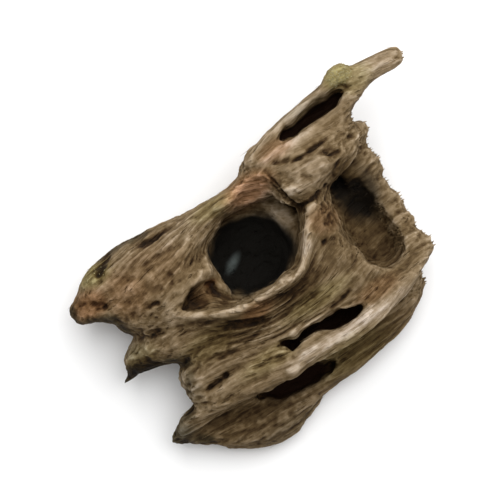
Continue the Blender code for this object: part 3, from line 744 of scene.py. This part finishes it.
woodLooks = {
    "stops": [
        (0.00, (0.010, 0.005, 0.002)),
        (0.22, (0.042, 0.023, 0.009)),
        (0.45, (0.118, 0.078, 0.037)),
        (0.68, (0.236, 0.171, 0.100)),
        (1.00, (0.480, 0.385, 0.280)),
    ],
    "rust": (1.35, 0.92, 0.72, 1),
    "olive": (0.92, 1.02, 0.66, 1),
    # Weathered grey, which along the lower edges is painted shade
    "grey": (0.42, 0.48, 0.51, 1),
    # Colour that the painted shade multiplies in
    "paintedShade": (0.46, 0.40, 0.28, 1),
    "bleach": (1.30, 1.38, 1.60, 1),
    # Near-black resin with painted shade in the knot hole and the side hollow
    "resinAndShade": (0.0060, 0.0052, 0.0040, 1),
    # Brown pitch with painted shade in the slots
    "pitchAndShade": (0.0100, 0.0036, 0.0012, 1),
    # Painted dim bluish light on the knot hole's floor
    "paintedHoleLight": (0.078, 0.090, 0.085, 1),
    "roughness": (0.9, 0.62),
    "specular": 0.06,
    # Streaks: stretch along, across and up, detail, roughness
    "broad": ((0.03, 0.45, 0.4), 3, 0.5),
    "narrow": ((0.10, 2.0, 1.8), 5, 0.6),
    "hair": ((0.35, 6.5, 6.0), 3, 0.5),
    "crack": ((0.13, 1.7, 1.5), 2, 0.5),
    "cracked": ((0.06, 0.25, 0.25), 1, 0.5),
    "speckle": 900,
    "pores": (0.42, 0.95, 0.95),
    "crackShows": (0.42, 0.56),    # where along the fibres cracks come and go
    "crackEdge": (0.40, 0.30),
    "poreShare": (0.34, 0.26),     # which of the cells have a pore
    "poreEdge": (0.30, 0.10),
    # How far each of them changes the relief and the tone
    "bumps": {"speckle": 0.35, "hair": 0.5, "pore": -0.5, "crack": -0.8},
    "weights": {"broad": 0.30, "narrow": 0.46, "hair": 0.26, "speckle": 0.34, "crack": -0.17, "pore": -0.12},
}


def newMaterial(name):
    material = bpy.data.materials.new(name)
    material.use_nodes = True
    return material, Nodes(material.node_tree), material.node_tree.nodes["Principled BSDF"]


def woodMaterial(name, paler=0.0, bump=0.35):
    material, nodes, shader = newMaterial(name)
    fibre = nodes.attribute("grain").outputs["Vector"]

    def stretched(scale):
        return nodes.add("ShaderNodeMapping", {"Vector": fibre, "Scale": scale}).outputs[0]

    def streaks(scale, detail, roughness):
        return nodes.add("ShaderNodeTexNoise", {
            "Vector": stretched(scale), "Scale": 1.0, "Detail": detail, "Roughness": roughness}).outputs[0]

    textures = {name: streaks(*woodLooks[name]) for name in ("broad", "narrow", "hair")}
    place = nodes.add("ShaderNodeTexCoord").outputs["Object"]
    textures["speckle"] = nodes.add("ShaderNodeTexNoise", {
        "Vector": place, "Scale": woodLooks["speckle"], "Detail": 4, "Roughness": 0.65}).outputs[0]

    # Cracks come and go along the fibres, and pores lie scattered between them
    present = nodes.step(streaks(*woodLooks["cracked"]), *woodLooks["crackShows"])
    line = nodes.step(streaks(*woodLooks["crack"]), *woodLooks["crackEdge"])
    crack = nodes.maths("MULTIPLY", line, present)
    cells = nodes.add("ShaderNodeTexVoronoi", {
        "Vector": stretched(woodLooks["pores"]), "Scale": 1.0, "Randomness": 1.0})
    drawn = nodes.add("ShaderNodeSeparateColor", {0: cells.outputs["Color"]}).outputs[0]
    chosen = nodes.step(drawn, *woodLooks["poreShare"])
    hole = nodes.step(cells.outputs["Distance"], *woodLooks["poreEdge"])
    marks = {"pore": nodes.maths("MULTIPLY", hole, chosen), "crack": crack}

    weights = woodLooks["weights"]
    tone = nodes.maths("ADD", nodes.attribute("tone").outputs["Fac"], paler)
    for name, texture in textures.items():
        centred = nodes.maths("SUBTRACT", texture, 0.5)
        tone = nodes.maths("MULTIPLY_ADD", centred, weights[name], tone)
    for name, mark in marks.items():
        tone = nodes.maths("MULTIPLY_ADD", mark, weights[name], tone)
    colour = nodes.ramp(tone, woodLooks["stops"])
    for tint in ("rust", "olive", "grey", "bleach", "paintedShade"):
        amount = nodes.attribute(tint).outputs["Fac"]
        colour = nodes.mixed(amount, colour, nodes.mixed(1.0, colour, woodLooks[tint], "MULTIPLY"))
    for overlay in ("resinAndShade", "pitchAndShade", "paintedHoleLight"):
        colour = nodes.mixed(nodes.attribute(overlay).outputs["Fac"], colour, woodLooks[overlay])
    nodes.tree.links.new(colour, shader.inputs["Base Color"])
    dry, oily = woodLooks["roughness"]
    rough = nodes.maths("MULTIPLY_ADD", tone, dry - oily, oily)
    nodes.tree.links.new(rough, shader.inputs["Roughness"])
    shader.inputs["Specular IOR Level"].default_value = woodLooks["specular"]
    height = textures["narrow"]
    for name, weight in woodLooks["bumps"].items():
        height = nodes.maths("MULTIPLY_ADD", {**textures, **marks}[name], weight, height)
    relief = nodes.add("ShaderNodeBump", {"Height": height, "Strength": 1.0, "Distance": bump * mm})
    nodes.tree.links.new(relief.outputs[0], shader.inputs["Normal"])
    return material


print("materials")
agarwood.data.materials.clear()
agarwood.data.materials.append(woodMaterial("weathered agarwood"))
agarwood.data.polygons.foreach_set("use_smooth", [True] * len(agarwood.data.polygons))
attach(agarwood, "root")
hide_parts(woodNode)


# Fibres, broken tips and lichen, scattered over the wood by one node tree

def scatterTree():
    tree = bpy.data.node_groups.new("scatter", "GeometryNodeTree")
    face = tree.interface
    face.new_socket("Geometry", in_out="OUTPUT", socket_type="NodeSocketGeometry")
    for label, kind in (("Geometry", "Geometry"), ("Where", "String"), ("Per Square Metre", "Float"),
                        ("Seed", "Int"), ("Width", "Float"), ("Length", "Float"), ("Least Share", "Float"),
                        ("Turn", "Float"), ("Bend", "Float"), ("Round", "Bool"), ("Material", "Material")):
        face.new_socket(label, in_out="INPUT", socket_type="NodeSocket" + kind)
    nodes = Nodes(tree)
    given = nodes.add("NodeGroupInput").outputs

    where = nodes.add("GeometryNodeInputNamedAttribute", {
        "Name": given["Where"]}, data_type="FLOAT").outputs[0]
    density = nodes.maths("MULTIPLY", where, given["Per Square Metre"])
    points = nodes.add("GeometryNodeDistributePointsOnFaces", {
        "Mesh": given["Geometry"], "Density": density, "Seed": given["Seed"]}).outputs["Points"]

    # A tapered sliver along Z, its foot sunk in the wood and its tip bent aside, or a round crumb
    cone = nodes.add("GeometryNodeMeshCone", {
        "Vertices": 4, "Side Segments": 3, "Radius Top": 0.15, "Radius Bottom": 1.0,
        "Depth": 1.0}).outputs["Mesh"]
    position = nodes.add("GeometryNodeInputPosition").outputs[0]
    height = nodes.add("ShaderNodeSeparateXYZ", {0: position}).outputs[2]
    aside = nodes.maths("MULTIPLY", nodes.maths("MULTIPLY", height, height), given["Bend"])
    shift = nodes.add("ShaderNodeCombineXYZ", {0: aside, 2: -0.15}).outputs[0]
    sliver = nodes.add("GeometryNodeSetPosition", {"Geometry": cone, "Offset": shift}).outputs[0]
    crumb = nodes.add("GeometryNodeMeshIcoSphere", {"Radius": 1.0, "Subdivisions": 1}).outputs[0]
    shape = nodes.add("GeometryNodeSwitch", {
        "Switch": given["Round"], "False": sliver, "True": crumb}, input_type="GEOMETRY").outputs[0]

    lay = nodes.add("GeometryNodeInputNamedAttribute", {"Name": "lay"}, data_type="FLOAT_VECTOR").outputs[0]
    turned = nodes.add("FunctionNodeAlignRotationToVector", {"Vector": lay}, axis="Z").outputs[0]
    negative = nodes.maths("MULTIPLY", given["Turn"], -1.0)
    wander = nodes.add("FunctionNodeRandomValue", {
        "Min": nodes.add("ShaderNodeCombineXYZ", {0: negative, 1: negative, 2: -3.1}).outputs[0],
        "Max": nodes.add("ShaderNodeCombineXYZ", {0: given["Turn"], 1: given["Turn"], 2: 3.1}).outputs[0],
        "Seed": given["Seed"]}, data_type="FLOAT_VECTOR").outputs[0]
    turned = nodes.add("FunctionNodeRotateRotation", {
        "Rotation": turned, "Rotate By": wander}, rotation_space="LOCAL").outputs[0]

    def share(extra):
        seed = nodes.maths("ADD", given["Seed"], extra)
        return nodes.add("FunctionNodeRandomValue", {
            2: given["Least Share"], 3: 1.0, "Seed": seed}, data_type="FLOAT").outputs[1]

    width = nodes.maths("MULTIPLY", share(1.0), given["Width"])
    length = nodes.maths("MULTIPLY", share(2.0), given["Length"])
    size = nodes.add("ShaderNodeCombineXYZ", {0: width, 1: width, 2: length}).outputs[0]
    copies = nodes.add("GeometryNodeInstanceOnPoints", {
        "Points": points, "Instance": shape, "Rotation": turned, "Scale": size}).outputs[0]
    real = nodes.add("GeometryNodeRealizeInstances", {"Geometry": copies}).outputs[0]
    coloured = nodes.add("GeometryNodeSetMaterial", {
        "Geometry": real, "Material": given["Material"]}).outputs[0]
    nodes.add("NodeGroupOutput", {"Geometry": coloured})
    return tree


# Ranges of how steeply the fibres leave the wood, of places, and of noise
scatterLooks = {
    "endGrain": (0.35, 0.7),     # from here on the slivers stand out of the wood
    "level": (0.12, 0.38),       # where fibres thin out towards end grain
    "broken": (0.6, 0.85),       # where broken tips set in
    "rightEnd": (20, 26),        # and from which x
    "knotReach": 10.5,           # no fibres or tips this near the knot hole's centre
    "knobFrom": 28,              # the x where the knob with its lichen starts
    "offKnob": 0.12,             # share of the lichen left of that x
    "rough": (-0.1, 0.35),       # noise between which fibres set in
    "patchy": (-0.15, 0.3),      # and lichen
}


def storeScatterGuides(obj):
    # The way each fibre lies, and how many fibres, broken tips and crumbs each place has
    mesh = obj.data
    places = vertexArray(mesh) / mm - knot
    normals = vertexArray(mesh, "normal")
    flow = grainDirection(places)
    across = (flow * normals).sum(axis=1)
    patches = np.where(noiseAt(places, "fibreSide") > 0, 1.0, -1.0)
    endGrain = smoothStep(np.abs(across), *scatterLooks["endGrain"])
    side = np.where(np.abs(across) > scatterLooks["endGrain"][0], np.sign(across), patches)
    tangent = flow - normals * across[:, None]
    tangent /= np.maximum(np.linalg.norm(tangent, axis=1), 0.05)[:, None]
    lay = (1 - endGrain)[:, None] * (tangent * side[:, None] + 0.05 * normals)
    lay += endGrain[:, None] * (flow * side[:, None] + 0.35 * normals)
    storeVectors(mesh, "lay", lay)

    # Keeps fibres off the resin and the painted shade in the hollows
    darkHollows = np.maximum(floatArray(mesh, "resinAndShade"), floatArray(mesh, "pitchAndShade"))
    bare = (1 - darkHollows) * smoothStep(places[:, 2], 1.0, 3.0)
    inKnot = np.hypot(places[:, 0], places[:, 1]) < scatterLooks["knotReach"]
    rough = smoothStep(noiseAt(places, "rough"), *scatterLooks["rough"])
    soft = spotMask(places[:, :2], softPlaces)
    level = 1 - smoothStep(np.abs(across), *scatterLooks["level"])
    level *= 0.2 + 0.8 * smoothStep(normals[:, 2], 0.2, 0.6)
    storeFloats(mesh, "fibrous", bare * level * (0.12 + 0.88 * rough) * (1 - 0.7 * soft) * ~inKnot)
    atRight = smoothStep(places[:, 0], *scatterLooks["rightEnd"])
    brokenEnd = smoothStep(np.abs(across), *scatterLooks["broken"]) * np.where(inKnot, 0.0, atRight)
    storeFloats(mesh, "frayed", bare * brokenEnd * (0.3 + 0.7 * rough))
    olive = floatArray(mesh, "olive")
    patchy = smoothStep(noiseAt(places, "patchy"), *scatterLooks["patchy"])
    onKnob = np.where(places[:, 0] > scatterLooks["knobFrom"], 1.0, scatterLooks["offKnob"])
    storeFloats(mesh, "mossy", bare * smoothStep(olive, 0.35, 0.9)**2 * (0.25 + 0.75 * patchy) * onKnob)


def scatterPiece(name, tree, source, settings, material):
    obj = addObject(name, source.data.copy())
    modifier = obj.modifiers.new("Scatter", "NODES")
    modifier.node_group = tree
    values = {**settings, "Material": material}
    for socket in tree.interface.items_tree:
        if socket.in_out == "INPUT" and socket.name in values:
            modifier[socket.identifier] = values[socket.name]
    mesh = plainMesh(obj)
    print("  triangles of", name, triangleCount(mesh))
    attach(obj, "root")


fibres = {"Where": "fibrous", "Per Square Metre": 0.9e6, "Seed": 4, "Width": 0.09 * mm, "Length": 3.6 * mm,
          "Least Share": 0.35, "Turn": 0.07, "Bend": 0.6, "Round": False}
brokenTips = {"Where": "frayed", "Per Square Metre": 3.0e6, "Seed": 9, "Width": 0.30 * mm, "Length": 0.8 * mm,
              "Least Share": 0.3, "Turn": 0.16, "Bend": 0.3, "Round": False}
lichen = {"Where": "mossy", "Per Square Metre": 14e6, "Seed": 15, "Width": 0.17 * mm, "Length": 0.14 * mm,
          "Least Share": 0.4, "Turn": 1.5, "Bend": 0.0, "Round": True}


lichenLooks = {
    "speckle": 1300,
    "stops": [(0.35, (0.15, 0.128, 0.055)), (0.65, (0.33, 0.29, 0.165))],
    "roughness": 0.95,
    "specular": 0.1,
}


def lichenMaterial():
    material, nodes, shader = newMaterial("lichen")
    place = nodes.add("ShaderNodeTexCoord").outputs["Object"]
    patch = nodes.add("ShaderNodeTexNoise", {
        "Vector": place, "Scale": lichenLooks["speckle"], "Detail": 2}).outputs[0]
    colour = nodes.ramp(patch, lichenLooks["stops"])
    nodes.tree.links.new(colour, shader.inputs["Base Color"])
    shader.inputs["Roughness"].default_value = lichenLooks["roughness"]
    shader.inputs["Specular IOR Level"].default_value = lichenLooks["specular"]
    return material


print("fibres, broken tips and lichen")
storeScatterGuides(agarwood)
scatter = scatterTree()
scatterPiece("agarwoodFibres", scatter, agarwood, fibres, woodMaterial("wood fibres", 0.10, 0.0))
scatterPiece("agarwoodTips", scatter, agarwood, brokenTips, woodMaterial("broken wood", 0.02, 0.1))
scatterPiece("agarwoodLichen", scatter, agarwood, lichen, lichenMaterial())


# Floor, light and camera

studio = {
    "pictureTurn": 34.0,       # degrees that the picture's up leans from the grain's cross direction
    "aim": (0.7, 0.7, 12.0),   # from the knot, in mm
    "width": 98.0,             # what the picture spans, in mm
    "lens": 180.0,
    "keyPower": 9.6,
    "keySize": 1.0,
    "keyPlace": (0.12, 0.42, 0.60),    # right of the aim, up in the picture and above, in m
    "ambient": 0.62,
    "board": {"Base Color": (0.86, 0.86, 0.86, 1), "Roughness": 0.9, "Specular IOR Level": 0.1},
    "boardSize": 1.5,          # half its side, in m
    "boardGap": 0.05,          # how far it lies below the piece, in mm
}


def floorPlane():
    bm = bmesh.new()
    bmesh.ops.create_grid(bm, x_segments=1, y_segments=1, size=studio["boardSize"])
    mesh = bpy.data.meshes.new("floor")
    bm.to_mesh(mesh)
    bm.free()
    floor = addObject("floor", mesh)
    floor.location.z = -studio["boardGap"] * mm
    material, _, shader = newMaterial("white board")
    for name, value in studio["board"].items():
        shader.inputs[name].default_value = value
    mesh.materials.append(material)


def cameraAndLight():
    turn = math.radians(studio["pictureTurn"])
    up = Vector((math.sin(turn), math.cos(turn), 0))
    aim = (Vector(knot) + Vector(studio["aim"])) * mm
    camera = bpy.data.cameras.new("camera")
    camera.lens = studio["lens"]
    camera.clip_start = 0.01
    camera.clip_end = 20
    cameraObject = addObject("camera", camera)
    distance = studio["width"] * mm * camera.lens / camera.sensor_width
    cameraObject.location = aim + Vector((0, 0, distance))
    cameraObject.rotation_euler = (0, 0, -turn)
    scene.camera = cameraObject

    key = bpy.data.lights.new("key", "AREA")
    key.energy = studio["keyPower"]
    key.size = studio["keySize"]
    keyObject = addObject("key", key)
    right = Vector((up.y, -up.x, 0))
    across, along, above = studio["keyPlace"]
    keyObject.location = aim + right * across + up * along + Vector((0, 0, above))
    keyObject.rotation_euler = (aim - keyObject.location).to_track_quat("-Z", "Y").to_euler()

    world = bpy.data.worlds.new("studio")
    scene.world = world
    world.use_nodes = True
    world.node_tree.nodes["Background"].inputs["Color"].default_value = (1, 1, 1, 1)
    world.node_tree.nodes["Background"].inputs["Strength"].default_value = studio["ambient"]
    scene.view_settings.view_transform = "Standard"


print("floor, light and camera")
floorPlane()
cameraAndLight()
